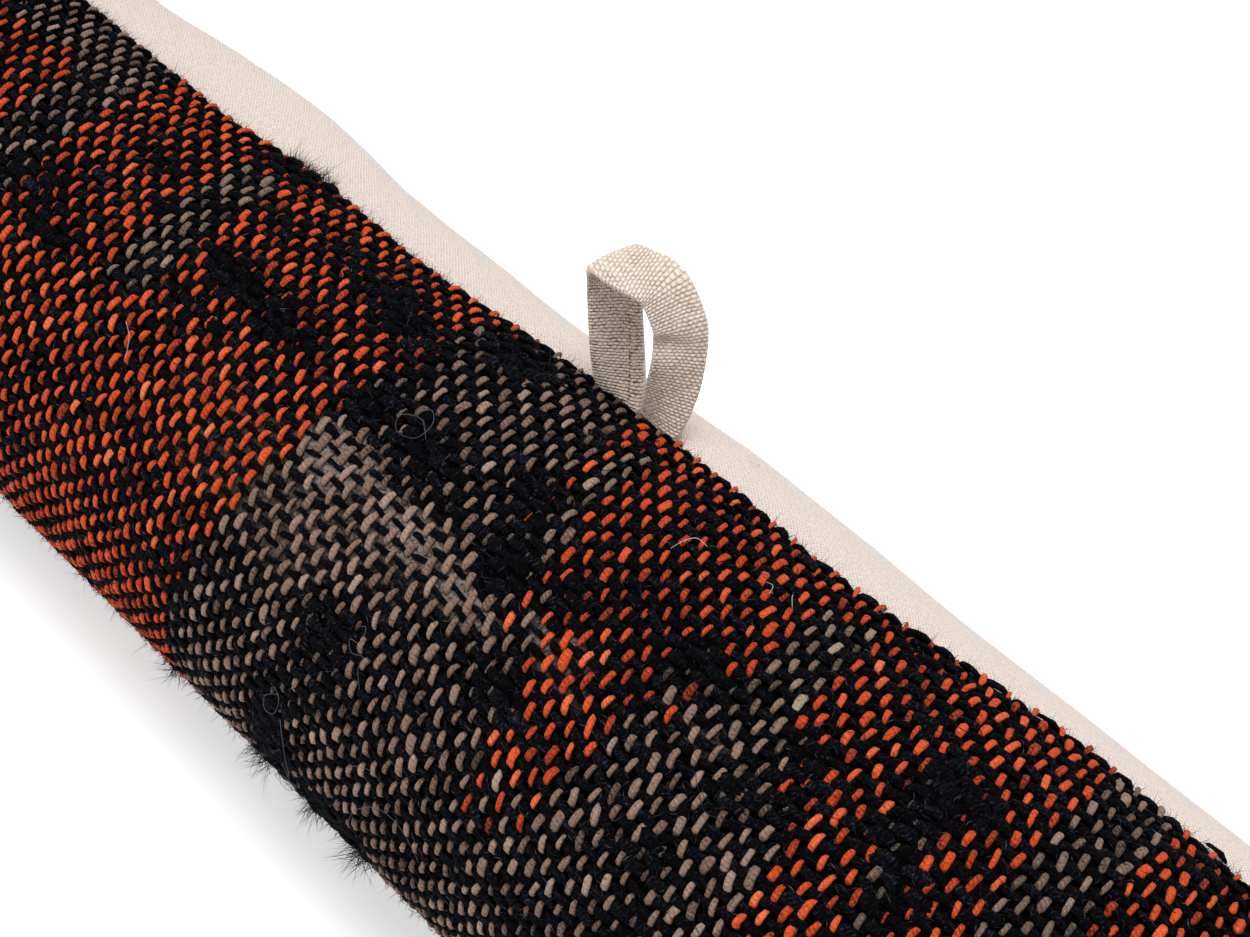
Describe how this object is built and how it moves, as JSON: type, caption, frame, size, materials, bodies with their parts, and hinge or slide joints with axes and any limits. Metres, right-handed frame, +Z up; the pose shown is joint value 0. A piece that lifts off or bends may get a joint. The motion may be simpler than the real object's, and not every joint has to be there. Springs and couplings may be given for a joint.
{
  "type": "draught excluder",
  "caption": "Long stuffed fabric tube that lies against the foot of a door, with a coarse woven front, a plain back and a short hanging loop in the upper seam.",
  "frame": {"origin": "middle of the object's box, on the surface that it rests on", "axes": "+X along the tube, +Z up, the wool front faces -Y and the cotton back +Y"},
  "size_m": [0.9, 0.127, 0.143],
  "materials": {
    "wool_cloth": "coarse plain-weave wool, black lengthwise yarns over orange and taupe crosswise yarns, fuzzy",
    "cotton_cloth": "cream plain-weave cotton, matt",
    "canvas_tape": "beige cotton canvas, folded and stitched into a tape"
  },
  "bodies": {
    "root": {"wool_front": "wool_cloth", "cotton_back_filled": "cotton_cloth", "hanging_loop": "canvas_tape"}
  },
  "joints": []
}
